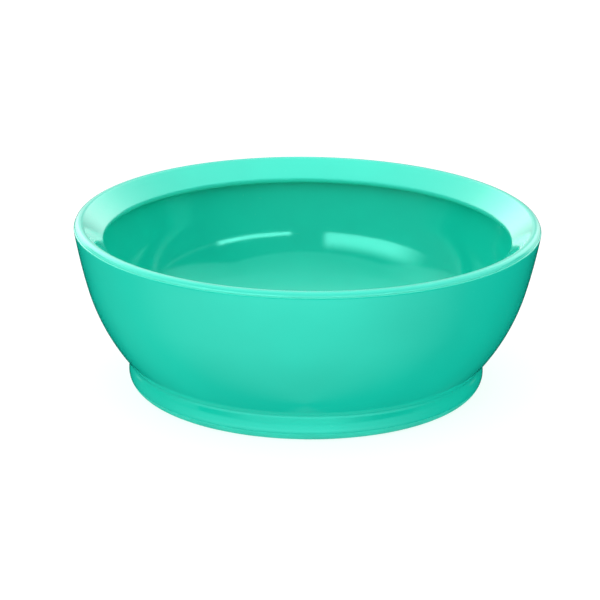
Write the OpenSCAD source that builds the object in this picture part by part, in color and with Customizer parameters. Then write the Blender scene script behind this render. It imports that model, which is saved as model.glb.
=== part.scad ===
// Low round bowl with an anti-spill lip.
//
// Three mouldings share one upright axis. The bowl body is a single curved wall with a foot.
// The lip ring is a funnel that is welded into a step inside the body's rim and overhangs the
// inside. The non-slip ring is soft and keys into a groove under the foot.
// Each one is a closed outline in the r-z plane, turned round the axis.
// Millimetres, +Z up. The origin is the centre of the circle that the bowl stands on.

/* [Overall] */
// Diameter over the rim, at the joint between the body and the lip ring
outer_d = 165; // [162:0.5:168]
// Height from the table to the crest of the rim
height = 60; // [56:0.5:66]
// Thickness of the bowl's wall and of its floor
wall = 2.8; // [2.4:0.1:3.2]

/* [Bowl body] */
// Lean of the wall from upright at the joint under the rim, in degrees
rim_lean = 9.4; // [8:0.1:11]
// Lean of the wall where the long upper curve gives way to the tighter lower one
mid_lean = 15.5; // [13:0.5:18]
// Radius of the upper curve of the wall, seen in section
upper_curve_r = 198; // [180:1:220]
// Radius of the lower curve of the wall, seen in section
lower_curve_r = 72; // [68:1:76]
// Height of the inside floor above the table
floor_h = 10; // [9:0.5:12]
// Radius of the sweep from the floor up into the wall
floor_sweep_r = 20; // [14:1:26]

/* [Foot] */
// Diameter of the foot at its fullest
foot_d = 126.5; // [125:0.5:128]
// Height at which the foot is fullest
foot_full_h = 5.2; // [5:0.1:5.3]
// Radius of the foot's shoulder, above its fullest height
foot_shoulder_r = 10; // [8:0.5:14]
// Radius of the foot's rounding below its fullest height
foot_round_r = 5.4; // [5.4:0.1:6]
// Radius of the hollow where the wall runs into the foot
crease_r = 1.8; // [1:0.1:2.4]
// Inner diameter of the foot and of the non-slip ring
foot_bore_d = 110; // [106:1:112]

/* [Lip ring] */
// Diameter of the mouth inside the lip
mouth_d = 143.6; // [138:0.2:148]
// Slope of the funnel from level, in degrees
funnel_slope = 39; // [34:1:44]
// Thickness of the funnel, whose inner edge is fully rounded
lip_t = 2.6; // [2:0.1:3]
// Radius of the rim bead
bead_r = 2; // [1.8:0.1:2.4]
// Height of the rim crest above the joint with the body
bead_h = 1.7; // [1.5:0.1:1.8]
// How far the bead stands back from the outer edge of the body's rim
bead_inset = 0.3; // [0.1:0.05:0.5]

/* [Weld step] */
// Thickness of the body's outer tongue at the joint
tongue_t = 1.9; // [1.7:0.1:2]
// Depth of the step that the lip ring's spigot stands in
step_depth = 4; // [3:0.5:4.5]
// Thickness of the spigot
spigot_t = 1.45; // [1.2:0.05:1.6]
// Gap left round the spigot and round the key
fit_gap = 0.05; // [0.03:0.01:0.1]

/* [Non-slip ring] */
// Height of the seam between the foot and the non-slip ring
seam_h = 3.4; // [3:0.1:3.6]
// Mean diameter of the key that stands up into the foot
key_d = 118; // [117:0.5:119]
// Width of the key at its root
key_w = 1.6; // [1.2:0.1:1.8]
// How far each flank of the key leans out, so that it can't pull free
key_flare = 0.25; // [0:0.05:0.3]
// Height of the key
key_h = 2.2; // [1.8:0.1:2.4]
// Number of tread grooves in the face that touches the table
treads = 3; // [1:1:3]

/* [Hidden] */
$fn = 180;

shell_colour = [0.13, 0.78, 0.66];
lip_colour = [0.30, 0.92, 0.80];
soft_colour = [0.10, 0.70, 0.58];

outer_r = outer_d / 2;
foot_r = foot_d / 2;
foot_bore_r = foot_bore_d / 2;
mouth_r = mouth_d / 2;
joint_h = height - bead_h;

// Small edges: the round on the body's rim, the bevels that open the two seam lines,
// and the round on the ring's inner lower edge
rim_edge_r = 0.5;
seam_bevel = 0.15;
soft_edge_r = 0.8;

// Recess under the floor
recess_h = floor_h - wall;
recess_fillet_r = 1.6;

// Spot where the plastic entered the mould: a shallow dish with a small stub in it
gate_dish_r = 6;
gate_dish_depth = 0.5;
gate_stub_r = 1.5;

tread_w = 0.5;
tread_depth = 0.4;

// Points along an arc in the r-z plane
function arc(c, r, from, to, steps) =
    [for (i = [0:steps]) let (a = from + (to - from) * i / steps) c + r * [cos(a), sin(a)]];

// Centre, at height z, of a circle of radius e that touches circle (c, r) from inside
function seated(c, r, e, z) = [c.x + sqrt(pow(r - e, 2) - pow(z - c.y, 2)), z];

// Centre of a circle of radius e that touches circles (c1, r1) and (c2, r2) from outside,
// on the side away from the axis
function nested(c1, r1, c2, r2, e) =
    let (
        d = norm(c2 - c1),
        along = (pow(r1 + e, 2) - pow(r2 + e, 2) + d * d) / (2 * d),
        aside = sqrt(pow(r1 + e, 2) - along * along),
        u = (c2 - c1) / d
    )
    c1 + along * u + aside * [-u.y, u.x];

// Direction of q seen from p, in degrees, from 0 to 360
function bearing(p, q) = (360 + atan2(q.y - p.y, q.x - p.x)) % 360;

// Lean of a curved wall (c, r) at height z
function lean_at(c, r, z) = asin((c.y - z) / r);

// Centres of the two curves of the wall, which run smoothly into each other
upper_c = [outer_r - upper_curve_r * cos(rim_lean), joint_h + upper_curve_r * sin(rim_lean)];
lower_c = upper_c + (upper_curve_r - lower_curve_r) * [cos(mid_lean), -sin(mid_lean)];

// Sweep from the floor into the wall
sweep_c = seated(lower_c, lower_curve_r - wall, floor_sweep_r, floor_h + floor_sweep_r);
sweep_lean = lean_at(lower_c, lower_curve_r - floor_sweep_r - wall, sweep_c.y);

// Round on the outer edge of the body's rim
rim_edge_c = seated(upper_c, upper_curve_r, rim_edge_r, joint_h - rim_edge_r);
rim_edge_lean = lean_at(upper_c, upper_curve_r - rim_edge_r, rim_edge_c.y);

// Step inside the body's rim
step_r = outer_r - tongue_t;
step_h = joint_h - step_depth;
step_lean = lean_at(upper_c, upper_curve_r - wall, step_h);

// Foot, and the hollow where the wall runs into it
shoulder_c = [foot_r - foot_shoulder_r, foot_full_h];
round_c = [foot_r - foot_round_r, foot_full_h];
crease_c = nested(lower_c, lower_curve_r, shoulder_c, foot_shoulder_r, crease_r);

function foot_angle(z) = asin((z - foot_full_h) / foot_round_r);
seam_r = round_c.x + foot_round_r * cos(foot_angle(seam_h));

// Bead, and the rounded inner edge of the funnel, joined by one straight slope
bead_c = [outer_r - bead_inset - bead_r, height - bead_r];
tip_r = lip_t / 2;
slope_out = [-sin(funnel_slope), cos(funnel_slope)];
slope_in = [-cos(funnel_slope), -sin(funnel_slope)];
slope_len = (bead_c.x + (bead_r - tip_r) * slope_out.x - mouth_r - tip_r) / cos(funnel_slope);
tip_c = bead_c + (bead_r - tip_r) * slope_out + slope_len * slope_in;

// Spigot of the lip ring
spigot_out_r = step_r - fit_gap;
spigot_in_r = spigot_out_r - spigot_t;
spigot_foot_h = step_h + fit_gap;
under_tip = tip_c - tip_r * slope_out;
spigot_root_h = under_tip.y + (spigot_in_r - under_tip.x) * tan(funnel_slope);

// Outline of the key, or of its groove when grown by the gap
function key_outline(gap) =
    let (r = key_d / 2, root = key_w / 2 + gap, top = root + key_flare, z = seam_h + key_h + gap)
    [[r + root, seam_h], [r + top, z], [r - top, z], [r - root, seam_h]];

module turned(outline) {
    rotate_extrude() polygon(outline);
}

module bowl_body() {
    inside = concat(
        [[0, floor_h]],
        arc(sweep_c, floor_sweep_r, -90, -sweep_lean, 16),
        arc(lower_c, lower_curve_r - wall, -sweep_lean, -mid_lean, 12),
        arc(upper_c, upper_curve_r - wall, -mid_lean, -step_lean, 6),
        [[step_r, step_h]]
    );
    outside = concat(
        [[step_r, joint_h]],
        arc(rim_edge_c, rim_edge_r, 90, -rim_edge_lean, 6),
        arc(upper_c, upper_curve_r, -rim_edge_lean, -mid_lean, 8),
        arc(lower_c, lower_curve_r, -mid_lean, bearing(lower_c, crease_c) - 360, 14),
        arc(crease_c, crease_r, bearing(crease_c, lower_c), bearing(crease_c, shoulder_c), 6),
        arc(shoulder_c, foot_shoulder_r, bearing(shoulder_c, crease_c), 0, 6),
        arc(round_c, foot_round_r, 0, foot_angle(seam_h + seam_bevel), 4),
        [[seam_r - seam_bevel, seam_h]]
    );
    fillet_c = [foot_bore_r - recess_fillet_r, recess_h - recess_fillet_r];
    underside = concat(
        key_outline(fit_gap),
        [[foot_bore_r, seam_h]],
        arc(fillet_c, recess_fillet_r, 0, 90, 5),
        [
            [gate_dish_r, recess_h],
            [gate_dish_r - gate_dish_depth, recess_h + gate_dish_depth],
            [gate_stub_r, recess_h + gate_dish_depth],
            [gate_stub_r, recess_h],
            [0, recess_h]
        ]
    );
    color(shell_colour) turned(concat(inside, outside, underside));
}

module lip_ring() {
    bead_foot = asin((joint_h + seam_bevel - bead_c.y) / bead_r);
    outline = concat(
        [[bead_c.x + bead_r * cos(bead_foot) - seam_bevel, joint_h]],
        arc(bead_c, bead_r, bead_foot, 90 + funnel_slope, 12),
        arc(tip_c, tip_r, 90 + funnel_slope, 270 + funnel_slope, 12),
        [
            [spigot_in_r, spigot_root_h],
            [spigot_in_r, spigot_foot_h],
            [spigot_out_r, spigot_foot_h],
            [spigot_out_r, joint_h]
        ]
    );
    color(lip_colour) turned(outline);
}

module non_slip_ring() {
    table_r = round_c.x + foot_round_r * cos(foot_angle(0));
    land = table_r - foot_bore_r - soft_edge_r;
    pitch = land / (treads + 1);
    tread_points = [
        for (i = [1:treads])
            let (r = table_r - i * pitch)
            each [
                [r + tread_w / 2, 0],
                [r + tread_w / 2, tread_depth],
                [r - tread_w / 2, tread_depth],
                [r - tread_w / 2, 0]
            ]
    ];
    key = key_outline(0);
    outline = concat(
        [[seam_r - seam_bevel, seam_h]],
        arc(round_c, foot_round_r, foot_angle(seam_h - seam_bevel), foot_angle(0), 10),
        tread_points,
        arc([foot_bore_r + soft_edge_r, soft_edge_r], soft_edge_r, 270, 180, 5),
        [[foot_bore_r, seam_h]],
        [for (i = [3:-1:0]) key[i]]
    );
    color(soft_colour) turned(outline);
}

bowl_body();
lip_ring();
non_slip_ring();
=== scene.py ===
from math import acos, asin, atan2, ceil, cos, degrees, pi, radians, sin, sqrt, tan

import bpy
from mathutils import Matrix, Vector


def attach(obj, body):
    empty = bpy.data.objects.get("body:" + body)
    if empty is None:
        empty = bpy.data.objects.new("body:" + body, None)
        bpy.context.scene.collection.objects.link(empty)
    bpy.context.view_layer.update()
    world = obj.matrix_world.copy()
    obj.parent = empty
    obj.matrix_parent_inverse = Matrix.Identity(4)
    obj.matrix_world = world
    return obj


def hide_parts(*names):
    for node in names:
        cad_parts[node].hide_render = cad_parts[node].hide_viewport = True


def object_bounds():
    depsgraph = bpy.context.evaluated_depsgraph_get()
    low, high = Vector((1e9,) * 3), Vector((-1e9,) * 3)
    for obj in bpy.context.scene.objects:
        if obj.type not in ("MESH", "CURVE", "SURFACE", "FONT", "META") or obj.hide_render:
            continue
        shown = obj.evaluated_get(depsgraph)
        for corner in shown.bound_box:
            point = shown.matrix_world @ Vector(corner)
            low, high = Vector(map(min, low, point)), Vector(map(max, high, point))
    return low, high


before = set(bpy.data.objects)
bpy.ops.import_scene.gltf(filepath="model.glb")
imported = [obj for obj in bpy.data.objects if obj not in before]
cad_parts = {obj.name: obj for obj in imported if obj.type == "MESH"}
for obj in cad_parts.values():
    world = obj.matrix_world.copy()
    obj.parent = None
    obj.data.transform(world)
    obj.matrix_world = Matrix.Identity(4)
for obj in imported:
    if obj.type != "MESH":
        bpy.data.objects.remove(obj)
cad_low, cad_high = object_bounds()

# A low round bowl of glossy plastic: a body, a funnel-shaped lip ring welded into its rim, and a
# soft non-slip ring under its foot. Each piece is one closed outline in the r-z plane turned round
# the axis, with the same driving values as the CAD part, finer steps and small edge rounds.
# Metres and degrees. The origin is the centre of the circle that the bowl stands on.

OUTER_R = (cad_high.x - cad_low.x) / 2
HEIGHT = cad_high.z
MM = 0.001

WALL = 2.8 * MM
RIM_LEAN = 9.4
MID_LEAN = 15.5
UPPER_CURVE_R = 198 * MM
LOWER_CURVE_R = 72 * MM
FLOOR_H = 10 * MM
FLOOR_SWEEP_R = 20 * MM

FOOT_R = 63.25 * MM
FOOT_FULL_H = 5.2 * MM
FOOT_SHOULDER_R = 10 * MM
FOOT_ROUND_R = 5.4 * MM
CREASE_R = 1.8 * MM
FOOT_BORE_R = 55 * MM

MOUTH_R = 71.8 * MM
FUNNEL_SLOPE = 39
LIP_T = 2.6 * MM
BEAD_R = 2 * MM
BEAD_H = 1.7 * MM
BEAD_INSET = 0.3 * MM

TONGUE_T = 1.9 * MM
STEP_DEPTH = 4 * MM
SPIGOT_T = 1.45 * MM
FIT_GAP = 0.05 * MM
RIM_EDGE_R = 0.5 * MM

SEAM_H = 3.4 * MM
SEAM_BEVEL = 0.15 * MM
SEAM_ROUND = 0.9 * SEAM_BEVEL
KEY_R = 59 * MM
KEY_HALF_W = 0.8 * MM
KEY_FLARE = 0.25 * MM
KEY_H = 2.2 * MM
TREADS = 3
TREAD_W = 0.5 * MM
TREAD_DEPTH = 0.4 * MM
SOFT_EDGE_R = 0.8 * MM

RECESS_FILLET_R = 1.6 * MM
GATE_DISH_R = 6 * MM
GATE_DISH_DEPTH = 0.5 * MM
GATE_STUB_R = 1.5 * MM

# Rounds on the small corners of the gate mark, the spigot, the key and the treads
GATE_EDGE_R = 0.12 * MM
SPIGOT_EDGE_R = 0.15 * MM
KEY_EDGE_R = 0.15 * MM
TREAD_EDGE_R = 0.1 * MM

# Steps round the axis, and the turn in degrees beyond which a corner is shaded sharp
SEGMENTS = 192
SHARP_TURN = 28

# Distances below which two points are one, and a point is on the axis
SAME_PLACE = 1e-6
ON_AXIS = 1e-9


# ---------------------------------------------------------------- plane geometry

def polar(turn, r=1.0):
    return Vector((cos(radians(turn)), sin(radians(turn)))) * r


def arc(c, r, start, end, step=2.5):
    """Points along an arc in the r-z plane, from one direction to another, no more than one
    step apart. Directions and steps are in degrees."""
    n = max(2, ceil(abs(end - start) / step))
    return [c + polar(start + (end - start) * i / n, r) for i in range(n + 1)]


def seated(c, r, e, z):
    """Centre, at height z, of a circle of radius e that touches circle (c, r) from inside."""
    return Vector((c.x + sqrt((r - e) ** 2 - (z - c.y) ** 2), z))


def nested(c1, r1, c2, r2, e):
    """Centre of a circle of radius e that touches two circles from outside."""
    d = (c2 - c1).length
    along = ((r1 + e) ** 2 - (r2 + e) ** 2 + d * d) / (2 * d)
    aside = sqrt((r1 + e) ** 2 - along * along)
    u = (c2 - c1) / d
    return c1 + along * u + aside * Vector((-u.y, u.x))


def bearing(p, q):
    """Direction of q seen from p, from 0 to 360."""
    return degrees(atan2(q.y - p.y, q.x - p.x)) % 360


def lean_at(c, r, z):
    """Lean from upright of a curved wall (c, r) at height z."""
    return degrees(asin((c.y - z) / r))


def eased(before, corner, after, r, steps=4):
    """The corner between two straight edges, rounded with radius r."""
    a = (before - corner).normalized()
    b = (after - corner).normalized()
    half = acos(max(-1.0, min(1.0, a.dot(b)))) / 2
    centre = corner + (a + b).normalized() * (r / sin(half))
    start = corner + a * (r / tan(half)) - centre
    end = corner + b * (r / tan(half)) - centre
    turn = atan2(start.cross(end), start.dot(end))
    return [centre + Matrix.Rotation(turn * i / steps, 2) @ start for i in range(steps + 1)]


def eased_path(points, r):
    """A run of straight edges with every inner corner rounded."""
    out = [points[0]]
    for before, corner, after in zip(points, points[1:], points[2:]):
        out += eased(before, corner, after, r)
    return out + [points[-1]]


def ring_steps(z, start, end, pitch=6 * MM):
    """Points on a flat face, so that its quads stay short."""
    n = max(2, ceil(abs(end - start) / pitch))
    return [Vector((start + (end - start) * i / n, z)) for i in range(1, n)]


# ---------------------------------------------------------------- construction of the section

joint_h = HEIGHT - BEAD_H
upper_c = Vector((OUTER_R - UPPER_CURVE_R * cos(radians(RIM_LEAN)),
                  joint_h + UPPER_CURVE_R * sin(radians(RIM_LEAN))))
lower_c = upper_c + polar(-MID_LEAN, UPPER_CURVE_R - LOWER_CURVE_R)
inner_lower_r = LOWER_CURVE_R - WALL
inner_upper_r = UPPER_CURVE_R - WALL
sweep_c = seated(lower_c, inner_lower_r, FLOOR_SWEEP_R, FLOOR_H + FLOOR_SWEEP_R)
sweep_lean = lean_at(lower_c, inner_lower_r - FLOOR_SWEEP_R, sweep_c.y)
rim_edge_c = seated(upper_c, UPPER_CURVE_R, RIM_EDGE_R, joint_h - RIM_EDGE_R)
rim_edge_lean = lean_at(upper_c, UPPER_CURVE_R - RIM_EDGE_R, rim_edge_c.y)
step_r = OUTER_R - TONGUE_T
step_h = joint_h - STEP_DEPTH
step_lean = lean_at(upper_c, inner_upper_r, step_h)
shoulder_c = Vector((FOOT_R - FOOT_SHOULDER_R, FOOT_FULL_H))
round_c = Vector((FOOT_R - FOOT_ROUND_R, FOOT_FULL_H))
crease_c = nested(lower_c, LOWER_CURVE_R, shoulder_c, FOOT_SHOULDER_R, CREASE_R)


def foot_angle(z):
    return degrees(asin((z - FOOT_FULL_H) / FOOT_ROUND_R))


def on_foot(z):
    return round_c + polar(foot_angle(z), FOOT_ROUND_R)


def key_corners(gap):
    """Outline of the key, or of its groove when grown by the gap."""
    root = KEY_HALF_W + gap
    top = root + KEY_FLARE
    z = SEAM_H + KEY_H + gap
    return [Vector((KEY_R + root, SEAM_H)), Vector((KEY_R + top, z)),
            Vector((KEY_R - top, z)), Vector((KEY_R - root, SEAM_H))]


def body_section():
    wall_inside = (
        arc(sweep_c, FLOOR_SWEEP_R, -90, -sweep_lean)
        + arc(lower_c, inner_lower_r, -sweep_lean, -MID_LEAN, 1.5)[1:]
        + arc(upper_c, inner_upper_r, -MID_LEAN, -step_lean, 0.8)[1:]
    )
    wall_outside = (
        [Vector((step_r, joint_h))]
        + arc(rim_edge_c, RIM_EDGE_R, 90, -rim_edge_lean, 12)
        + arc(upper_c, UPPER_CURVE_R, -rim_edge_lean, -MID_LEAN, 0.8)[1:]
        + arc(lower_c, LOWER_CURVE_R, -MID_LEAN, bearing(lower_c, crease_c) - 360, 1.5)[1:]
    )
    foot = (
        arc(crease_c, CREASE_R, bearing(crease_c, lower_c), bearing(crease_c, shoulder_c), 10)[1:]
        + arc(shoulder_c, FOOT_SHOULDER_R, bearing(shoulder_c, crease_c), 0)[1:]
        + arc(round_c, FOOT_ROUND_R, 0, foot_angle(SEAM_H + SEAM_BEVEL), 3)[1:]
    )
    seam_edge = eased(foot[-1], on_foot(SEAM_H), key_corners(FIT_GAP)[0], SEAM_ROUND)
    recess_h = FLOOR_H - WALL
    fillet_c = Vector((FOOT_BORE_R - RECESS_FILLET_R, recess_h - RECESS_FILLET_R))
    return (
        [Vector((0, FLOOR_H))] + ring_steps(FLOOR_H, 0, sweep_c.x)
        + wall_inside + [Vector((step_r, step_h))]
        + wall_outside + foot + seam_edge
        + key_corners(FIT_GAP) + [Vector((FOOT_BORE_R, SEAM_H))]
        + arc(fillet_c, RECESS_FILLET_R, 0, 90, 9)
        + ring_steps(recess_h, fillet_c.x, GATE_DISH_R + MM)
        + gate_mark(recess_h)
    )


def gate_mark(z):
    """Shallow dish at height z, with a small stub where the plastic entered the mould."""
    dish_h = z + GATE_DISH_DEPTH
    corners = [(GATE_DISH_R + MM, z), (GATE_DISH_R, z), (GATE_DISH_R - GATE_DISH_DEPTH, dish_h),
               (GATE_STUB_R, dish_h), (GATE_STUB_R, z), (0, z)]
    return eased_path([Vector(p) for p in corners], GATE_EDGE_R)


def lip_section():
    bead_c = Vector((OUTER_R - BEAD_INSET - BEAD_R, HEIGHT - BEAD_R))
    tip_r = LIP_T / 2
    slope_out = polar(90 + FUNNEL_SLOPE)
    slope_in = polar(180 + FUNNEL_SLOPE)
    run = bead_c.x + (BEAD_R - tip_r) * slope_out.x - MOUTH_R - tip_r
    tip_c = bead_c + (BEAD_R - tip_r) * slope_out + run / cos(radians(FUNNEL_SLOPE)) * slope_in
    bead_foot = degrees(asin((joint_h + SEAM_BEVEL - bead_c.y) / BEAD_R))
    bead = arc(bead_c, BEAD_R, bead_foot, 90 + FUNNEL_SLOPE, 6)
    tip = arc(tip_c, tip_r, 90 + FUNNEL_SLOPE, 270 + FUNNEL_SLOPE, 8)
    funnel = [bead[-1].lerp(tip[0], i / 8) for i in range(1, 8)]
    spigot_out_r = step_r - FIT_GAP
    spigot_in_r = spigot_out_r - SPIGOT_T
    under = tip[-1]
    root_h = under.y + (spigot_in_r - under.x) * tan(radians(FUNNEL_SLOPE))
    spigot_foot_h = step_h + FIT_GAP
    spigot = [under, Vector((spigot_in_r, root_h)), Vector((spigot_in_r, spigot_foot_h)),
              Vector((spigot_out_r, spigot_foot_h)), Vector((spigot_out_r, joint_h))]
    foot_corner = Vector((bead_c.x + BEAD_R * cos(radians(bead_foot)), joint_h))
    seam_edge = eased(spigot[-1], foot_corner, bead[0], SEAM_ROUND)
    return seam_edge + bead + funnel + tip + eased_path(spigot, SPIGOT_EDGE_R)[1:]


def ring_section():
    table_r = on_foot(0).x
    pitch = (table_r - FOOT_BORE_R - SOFT_EDGE_R) / (TREADS + 1)
    path = [Vector((table_r, 0))]
    for i in range(TREADS):
        r = table_r - (i + 1) * pitch
        path += [Vector((r + TREAD_W / 2, 0)), Vector((r + TREAD_W / 2, TREAD_DEPTH)),
                 Vector((r - TREAD_W / 2, TREAD_DEPTH)), Vector((r - TREAD_W / 2, 0))]
    inner_c = Vector((FOOT_BORE_R + SOFT_EDGE_R, SOFT_EDGE_R))
    path.append(Vector((inner_c.x, 0)))
    outside = arc(round_c, FOOT_ROUND_R, foot_angle(SEAM_H - SEAM_BEVEL), foot_angle(0), 5)
    key = key_corners(0)[::-1]
    seam_edge = eased(key[-1], on_foot(SEAM_H), outside[0], SEAM_ROUND)
    return (
        seam_edge + outside + eased_path(path, TREAD_EDGE_R)[1:]
        + arc(inner_c, SOFT_EDGE_R, 270, 180, 10)
        + [Vector((FOOT_BORE_R, SEAM_H))]
        + [key[0]] + eased_path(key, KEY_EDGE_R)[1:-1] + [key[-1]]
    )


# ---------------------------------------------------------------- turned meshes

def tidy_outline(points):
    """The outline without points that fall on each other."""
    out = []
    for p in points:
        if not out or (p - out[-1]).length > SAME_PLACE:
            out.append(p)
    if (out[0] - out[-1]).length < SAME_PLACE:
        out.pop()
    return out


def link(name, data):
    made = bpy.data.objects.new(name, data)
    bpy.context.scene.collection.objects.link(made)
    return made


def turned(name, outline):
    """A closed solid made by turning an outline round the axis. An outline that reaches the
    axis is closed along it with a single point at each end."""
    outline = tidy_outline(outline)
    verts, rings = turned_points(outline)
    mesh = bpy.data.meshes.new(name)
    mesh.from_pydata(verts, [], turned_faces(rings))
    mesh.validate()
    mesh.update()
    mark_sharp(mesh, outline, rings)
    return link(name, mesh)


def turned_points(outline):
    """All points, and for each point of the outline the ring of points that it sweeps."""
    turns = [2 * pi * k / SEGMENTS for k in range(SEGMENTS)]
    verts = []
    rings = []
    for p in outline:
        first = len(verts)
        if p.x < ON_AXIS:
            rings.append([first] * SEGMENTS)
            verts.append((0, 0, p.y))
        else:
            rings.append(list(range(first, first + SEGMENTS)))
            verts += [(p.x * cos(turn), p.x * sin(turn), p.y) for turn in turns]
    return verts, rings


def turned_faces(rings):
    faces = []
    for i, a in enumerate(rings):
        b = rings[(i + 1) % len(rings)]
        if a[0] == a[1] and b[0] == b[1]:
            continue
        for k in range(SEGMENTS):
            m = (k + 1) % SEGMENTS
            faces.append(list(dict.fromkeys([a[k], a[m], b[m], b[k]])))
    return faces


def mark_sharp(mesh, outline, rings):
    """Shades the mesh smooth, except across corners of the outline that turn steeply."""
    mesh.polygons.foreach_set("use_smooth", [True] * len(mesh.polygons))
    n = len(outline)
    sharp = set()
    for i, p in enumerate(outline):
        a = p - outline[i - 1]
        b = outline[(i + 1) % n] - p
        if p.x > ON_AXIS and abs(degrees(a.angle_signed(b))) > SHARP_TURN:
            ring = rings[i]
            sharp |= {frozenset((ring[k], ring[(k + 1) % SEGMENTS])) for k in range(SEGMENTS)}
    marks = mesh.attributes.new("sharp_edge", "BOOLEAN", "EDGE")
    marks.data.foreach_set("value", [frozenset(e.vertices) in sharp for e in mesh.edges])


# ---------------------------------------------------------------- node helpers

class Graph:
    """Short calls for making and joining shader nodes."""

    def __init__(self, owner):
        owner.use_nodes = True
        self.tree = owner.node_tree
        self.tree.nodes.clear()

    def add(self, kind, inputs=(), **settings):
        node = self.tree.nodes.new("ShaderNode" + kind)
        for key, value in settings.items():
            setattr(node, key, value)
        for key, value in dict(inputs).items():
            if isinstance(value, bpy.types.NodeSocket):
                self.tree.links.new(value, node.inputs[key])
            else:
                node.inputs[key].default_value = value
        return node

    def math(self, operation, *values):
        return self.add("Math", dict(enumerate(values)), operation=operation).outputs[0]

    def ramp(self, value, low, high, to_low=0.0, to_high=1.0, smooth=True):
        kind = "SMOOTHSTEP" if smooth else "LINEAR"
        sockets = {0: value, 1: low, 2: high, 3: to_low, 4: to_high}
        return self.add("MapRange", sockets, interpolation_type=kind).outputs[0]

    def line(self, value, low, high, to_low=0.0, to_high=1.0):
        return self.ramp(value, low, high, to_low, to_high, smooth=False)

    def window(self, value, low, high, soft_low, soft_high):
        """1 between low and high, falling smoothly to 0 over the two soft widths outside."""
        rise = self.ramp(value, low - soft_low, low)
        fall = self.ramp(value, high, high + soft_high, 1.0, 0.0)
        return self.product(rise, fall)

    def product(self, first, *others):
        for value in others:
            first = self.math("MULTIPLY", first, value)
        return first

    def total(self, first, *others):
        for value in others:
            first = self.math("ADD", first, value)
        return first

    def rest(self, part):
        """What is left of 1 when a part is taken away."""
        return self.math("SUBTRACT", 1.0, part)

    def noise(self, place, scale, detail=2.0):
        sockets = {"Vector": place, "Scale": scale, "Detail": detail}
        return self.add("TexNoise", sockets).outputs["Fac"]

    def bump(self, height, distance, **under):
        sockets = {"Height": height, "Strength": 1.0, "Distance": distance, **under}
        return self.add("Bump", sockets).outputs[0]

    def blend(self, factor, a, b):
        return self.add("Mix", {0: factor, 2: a, 3: b}).outputs[0]

    def blend_colour(self, factor, a, b):
        return self.add("Mix", {0: factor, 6: a, 7: b}, data_type="RGBA").outputs[2]


# ---------------------------------------------------------------- materials

SHELL_COLOUR = (0.006, 0.50, 0.360)
# The lip's tone, made lighter and whiter than the shell's as painted light, for a lip that faces
# up and catches more light.
LIP_COLOUR_AND_PAINTED_LIGHT = (0.028, 0.525, 0.390)
# The ring's tone, made lighter as painted light to lift the shade on its downward-facing side
# under the foot.
RING_COLOUR_AND_PAINTED_LIGHT = (0.010, 0.54, 0.385)
# Painted highlight: colour of a thin pale line along the rim joint, standing in for light caught
# by the body's top edge.
JOINT_HIGHLIGHT_COLOUR = (0.075, 0.68, 0.51, 1)
SCUFF_COLOUR = (0.4, 0.8, 0.7, 1)
RUBBED_COLOUR = (0.25, 0.66, 0.55, 1)


def shaded(colour, by):
    return (*(min(1.0, c * by) for c in colour), 1)


def plastic(name, colour, roughness):
    """Glossy moulded plastic: slight drift in colour, a faint mottle in its gloss, shallow
    orange peel, hairline scuffs where a bowl is handled and stood down, and a pale line painted
    along the rim joint as a highlight."""
    material = bpy.data.materials.new(name)
    g = Graph(material)
    place = g.add("TexCoord").outputs["Object"]
    scuffs = scuff_marks(g, place)
    drift = g.ramp(g.noise(place, 28.0, 3.0), 0.3, 0.7)
    tint = g.blend_colour(drift, shaded(colour, 0.965), shaded(colour, 1.03))
    # Painted highlight: a pale line along the rim joint, where the body's top edge catches light.
    with_joint_highlight = g.blend_colour(joint_highlight(g, place), tint, JOINT_HIGHLIGHT_COLOUR)
    mottle = g.noise(place, 210.0, 4.0)
    gloss = g.ramp(mottle, 0.25, 0.75, roughness * 0.9, roughness * 1.12)
    shader = g.add("BsdfPrincipled", {
        "Base Color": g.blend_colour(g.product(scuffs, 0.03), with_joint_highlight, SCUFF_COLOUR),
        "Roughness": g.total(gloss, g.product(scuffs, 0.05)),
        "IOR": 1.5,
        "Specular Tint": (0.23, 1.0, 0.85, 1.0),
        "Normal": orange_peel(g, place),
    })
    g.add("OutputMaterial", {"Surface": shader.outputs[0]})
    return material


def scuff_marks(g, place):
    """1 on hairlines that run two ways, in patches."""
    across = g.add("Mapping", {"Vector": place, "Scale": (90.0, 1500.0, 700.0),
                               "Rotation": (0.3, 0.2, 0.9)}).outputs[0]
    along = g.add("Mapping", {"Vector": place, "Scale": (1300.0, 80.0, 600.0),
                              "Rotation": (-0.2, 0.4, 0.3)}).outputs[0]
    lines = [g.ramp(g.noise(v, 1.0, 1.0), 0.74, 0.80) for v in (across, along)]
    patches = g.ramp(g.noise(place, 46.0), 0.5, 0.66)
    return g.product(g.math("MAXIMUM", *lines), patches)


def orange_peel(g, place):
    """Normal of a moulded face: long shallow waves under a fine texture."""
    waves = g.bump(g.noise(place, 34.0, 1.0), 0.03 * MM)
    return g.bump(g.noise(place, 620.0), 0.0012 * MM, Normal=waves)


def joint_highlight(g, place):
    """1 at the joint under the rim bead, where a pale line is painted as the highlight that the
    body's top edge catches.
    """
    x, y, z = g.add("SeparateXYZ", {0: place}).outputs
    r = g.math("SQRT", g.total(g.product(x, x), g.product(y, y)))
    near = g.window(z, joint_h - 0.05 * MM, joint_h + 0.5 * MM, 0.15 * MM, 0.4 * MM)
    return g.product(near, g.ramp(r, OUTER_R - 1.6 * MM, OUTER_R - 0.9 * MM))


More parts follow.
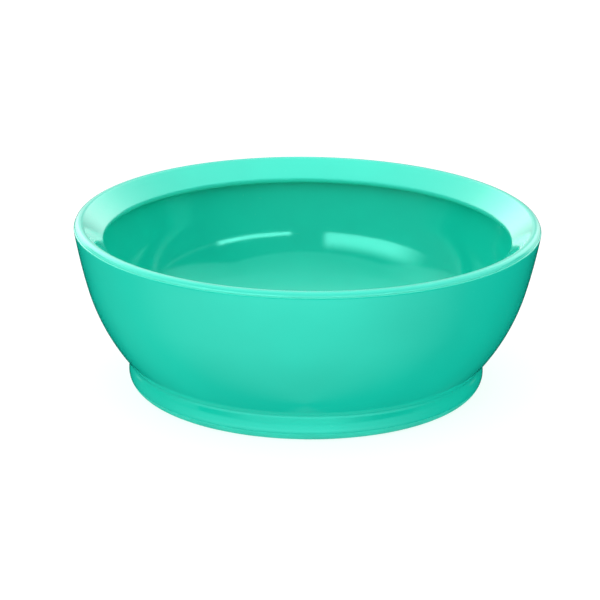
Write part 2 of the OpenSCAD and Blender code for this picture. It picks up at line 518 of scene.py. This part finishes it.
def soft_plastic(name, colour):
    """Matt elastomer: a fine spark-eroded grain, slightly paler where it rubs on the table."""
    material = bpy.data.materials.new(name)
    g = Graph(material)
    place = g.add("TexCoord").outputs["Object"]
    height = g.add("SeparateXYZ", {0: place}).outputs["Z"]
    grain = g.add("TexVoronoi", {"Vector": place, "Scale": 3200.0}).outputs["Distance"]
    cloud = g.noise(place, 90.0, 4.0)
    tint = g.blend_colour(g.ramp(cloud, 0.3, 0.7), shaded(colour, 0.95), shaded(colour, 1.04))
    rub = g.product(g.ramp(height, 0.0, 1.2 * MM, 1.0, 0.0), g.ramp(cloud, 0.4, 0.65), 0.25)
    shader = g.add("BsdfPrincipled", {
        "Base Color": g.blend_colour(rub, tint, RUBBED_COLOUR),
        "Roughness": g.ramp(cloud, 0.3, 0.7, 0.46, 0.56),
        "IOR": 1.45,
        "Specular Tint": (0.4, 1.0, 0.9, 1.0),
        "Normal": g.bump(grain, 0.02 * MM),
    })
    g.add("OutputMaterial", {"Surface": shader.outputs[0]})
    return material


def floor_material():
    """Pale sweep that is lit from within, so that it stays light right up to the bowl."""
    material = bpy.data.materials.new("pale_floor")
    g = Graph(material)
    place = g.add("TexCoord").outputs["Object"]
    glow = g.ramp(g.noise(place, 3.0), 0.3, 0.7, 0.74, 0.76)
    shader = g.add("BsdfPrincipled", {
        "Base Color": (0.3, 0.3, 0.3, 1),
        "Roughness": 0.9,
        "Specular IOR Level": 0.0,
        "Emission Color": (1, 1, 1, 1),
        "Emission Strength": glow,
    })
    g.add("OutputMaterial", {"Surface": shader.outputs[0]})
    return material


def card_material():
    """Brightest low down and round the middle, fading to its top and its two ends."""
    material = bpy.data.materials.new("lit_card")
    g = Graph(material)
    x, _, z = g.add("SeparateXYZ", {0: g.add("TexCoord").outputs["Object"]}).outputs
    along = g.window(x, -75 * MM, 40 * MM, 90 * MM, 100 * MM)
    glow = g.product(g.ramp(z, 30 * MM, CARD_TOP, 2.9, 1.2), along)
    shader = g.add("Emission", {"Strength": glow})
    g.add("OutputMaterial", {"Surface": shader.outputs[0]})
    return material


# ---------------------------------------------------------------- surroundings

CARD_R = 200 * MM
CARD_BOTTOM = 2 * MM
CARD_TOP = 52 * MM
CARD_HALF_TURN = 60
CARD_STEPS = 36

FLOOR_HALF = 6.0


class Way:
    """Direction of a ray that leaves the bowl, as elevation and azimuth in degrees. Azimuth is
    0 at the front and grows to the right."""

    def __init__(self, g):
        place = g.add("TexCoord").outputs["Generated"]
        self.x, y, z = g.add("SeparateXYZ", {0: place}).outputs
        self.el = g.math("DEGREES", g.math("ARCSINE", z))
        self.az = g.math("DEGREES", g.math("ARCTAN2", self.x, g.product(y, -1.0)))
        self.off = g.math("ABSOLUTE", self.az)


def overhead_light(g, way):
    """Large bank overhead. Its front edge comes down toward the sides. Behind, it reaches past
    the horizon, dimmer low down right at the back and in its left corner, and two flags cut off
    its lower sides."""
    tilted = g.total(way.el, g.line(way.off, 50.0, 180.0, 0.0, 45.0))
    ahead = g.product(g.ramp(tilted, 35.6, 37.2), g.total(
        g.line(tilted, 36.0, 50.0, 1.6, 3.9), g.line(tilted, 50.0, 90.0, 0.0, 1.1)))
    behind = g.product(g.line(way.el, -10.0, -5.0), g.total(
        g.ramp(way.el, 0.0, 26.0, 1.65, 4.0), g.line(way.el, 50.0, 76.0, 0.0, 0.8)))
    gap = g.product(g.ramp(way.off, 158.0, 172.0), g.ramp(way.el, 40.0, 60.0, 1.0, 0.0), 0.65)
    corner = g.product(g.window(way.az, -180.0, -160.0, 1.0, 25.0),
                       g.ramp(way.el, -4.0, 24.0, 1.0, 0.0), 0.18)
    behind = g.product(behind, g.math("MULTIPLY_ADD", way.x, -0.22, 1.0),
                       g.rest(g.total(gap, corner)))
    flags = g.product(g.window(way.off, 82.0, 125.0, 10.0, 14.0),
                      g.ramp(way.el, 14.0, 28.0, 1.0, 0.0))
    return g.product(g.blend(g.ramp(way.off, 95.0, 128.0), ahead, behind), g.rest(flags))


def floor_light(g, way):
    """Lit floor in front, brighter with distance, that fades round the sides but for a faint
    spill further on, and a dim floor behind."""
    distance = g.line(way.el, -130.0, -36.0)
    level = g.product(distance, distance, distance, g.line(way.el, -36.0, -20.0, 4.8, 3.9),
                      g.line(way.el, -8.0, 6.0, 1.0, 0.0))
    pool = g.product(g.window(way.az, -15.0, 0.0, 95.0, 100.0), 0.9)
    spill = g.product(g.window(way.az, -60.0, 40.0, 100.0, 85.0), 0.1)
    behind = g.product(g.window(way.el, -85.0, -55.0, 6.0, 20.0),
                       g.ramp(way.off, 140.0, 175.0), 0.25)
    return g.total(g.product(level, g.total(pool, spill)), behind)


def lamp_light(g, way):
    """Softbox at the front left, and at the front right a narrow strip with a faint end. They
    hang lower toward the sides."""
    bowed = g.math("MULTIPLY_ADD", g.product(way.az, way.az), 0.0005, way.el)
    softbox = g.product(g.window(bowed, 24.3, 28.5, 0.5, 7.0),
                        g.window(way.az, -50.0, -13.0, 30.0, 5.0), 10.3)
    strip = g.product(g.window(bowed, 24.2, 25.5, 0.4, 0.9),
                      g.window(way.az, 12.0, 52.5, 4.0, 4.0), 15.0)
    faint_end = g.product(g.window(bowed, 24.3, 24.8, 0.4, 0.6),
                          g.window(way.az, 50.0, 90.0, 5.0, 8.0), 1.2)
    return g.total(softbox, strip, faint_end)


def mirrored_light(g, way):
    """All that shows in reflections: the lights, and dim walls that are darker on the right."""
    walls = g.product(g.window(way.el, 2.0, 36.0, 4.0, 4.0), g.ramp(way.az, 0.0, 72.0, 0.72, 0.05))
    return g.total(lamp_light(g, way), floor_light(g, way), overhead_light(g, way), walls)


def scattered_light(g, way):
    """Light on the surfaces, stronger from the left. Behind it is even. In front a key light
    stands over the horizon, between a bright floor and a soft ceiling."""
    floor = g.ramp(way.el, -50.0, -30.0, 1.17, 0.0)
    key = g.product(g.window(way.el, 4.0, 31.0, 9.0, 11.0), 1.45)
    ceiling = g.total(g.ramp(way.el, 31.0, 42.0, 0.0, 0.62), g.line(way.el, 60.0, 90.0, 0.0, 0.35))
    front = g.total(floor, key, ceiling, 0.43)
    level = g.blend(g.ramp(way.off, 70.0, 120.0), front, 1.38)
    return g.product(level, g.math("MULTIPLY_ADD", way.x, -0.165, 1.0))


def make_world():
    world = bpy.data.worlds.new("studio")
    bpy.context.scene.world = world
    world.cycles.sampling_method = "NONE"
    g = Graph(world)
    way = Way(g)
    glossy = g.add("LightPath").outputs["Is Glossy Ray"]
    strength = g.blend(glossy, scattered_light(g, way), mirrored_light(g, way))
    shader = g.add("Background", {"Color": (1, 1, 1, 1), "Strength": strength})
    g.add("OutputWorld", {"Surface": shader.outputs[0]})


def make_floor():
    half = FLOOR_HALF
    mesh = bpy.data.meshes.new("floor")
    mesh.from_pydata([(-half, -half, 0), (half, -half, 0), (half, half, 0), (-half, half, 0)],
                     [], [(0, 1, 2, 3)])
    floor = link("floor", mesh)
    floor.data.materials.append(floor_material())
    floor.visible_glossy = False
    floor.visible_diffuse = False


def make_card():
    """Curved white card standing round the front, low enough to show only in the foot."""
    n = CARD_STEPS
    around = [radians(CARD_HALF_TURN * (2 * i / n - 1)) for i in range(n + 1)]
    points = [(CARD_R * sin(a), -CARD_R * cos(a), z) for z in (CARD_BOTTOM, CARD_TOP)
              for a in around]
    mesh = bpy.data.meshes.new("card")
    mesh.from_pydata(points, [], [(i, i + 1, n + 2 + i, n + 1 + i) for i in range(n)])
    card = link("card", mesh)
    card.data.materials.append(card_material())
    card.visible_camera = False
    card.visible_diffuse = False
    card.visible_shadow = False


def make_camera():
    """Twelve rim radii in front of the axis, looking down at the bowl with a long lens."""
    yaw, pitch, roll = radians(-0.138), radians(18.69), radians(0.613)
    ahead = Vector((sin(yaw) * cos(pitch), cos(yaw) * cos(pitch), -sin(pitch)))
    level = Vector((cos(yaw), -sin(yaw), 0))
    above = level.cross(ahead)
    right = level * cos(roll) + above * sin(roll)
    up = above * cos(roll) - level * sin(roll)
    data = bpy.data.cameras.new("camera")
    data.sensor_width = 36
    data.lens = 176.08
    camera = link("camera", data)
    turn = Matrix((right, up, -ahead)).transposed().to_4x4()
    camera.matrix_world = Matrix.Translation((0, -12 * OUTER_R, HEIGHT + 3.694 * OUTER_R)) @ turn
    bpy.context.scene.camera = camera


# ---------------------------------------------------------------- the bowl

def make_piece(name, outline, material, node):
    """One turned piece, standing in for a node of the CAD part."""
    piece = turned(name, outline)
    piece.data.materials.append(material)
    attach(piece, "root")
    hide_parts(node)


shell_plastic = plastic("shell_plastic", SHELL_COLOUR, 0.07)
lip_plastic = plastic("lip_plastic", LIP_COLOUR_AND_PAINTED_LIGHT, 0.10)
ring_plastic = soft_plastic("ring_plastic", RING_COLOUR_AND_PAINTED_LIGHT)

make_piece("body_moulding", body_section(), shell_plastic, "bowl_body")
make_piece("lip_moulding", lip_section(), lip_plastic, "lip_ring")
make_piece("grip_ring", ring_section(), ring_plastic, "non_slip_ring")

make_floor()
make_card()
make_world()
make_camera()
bpy.context.scene.view_settings.view_transform = "Standard"
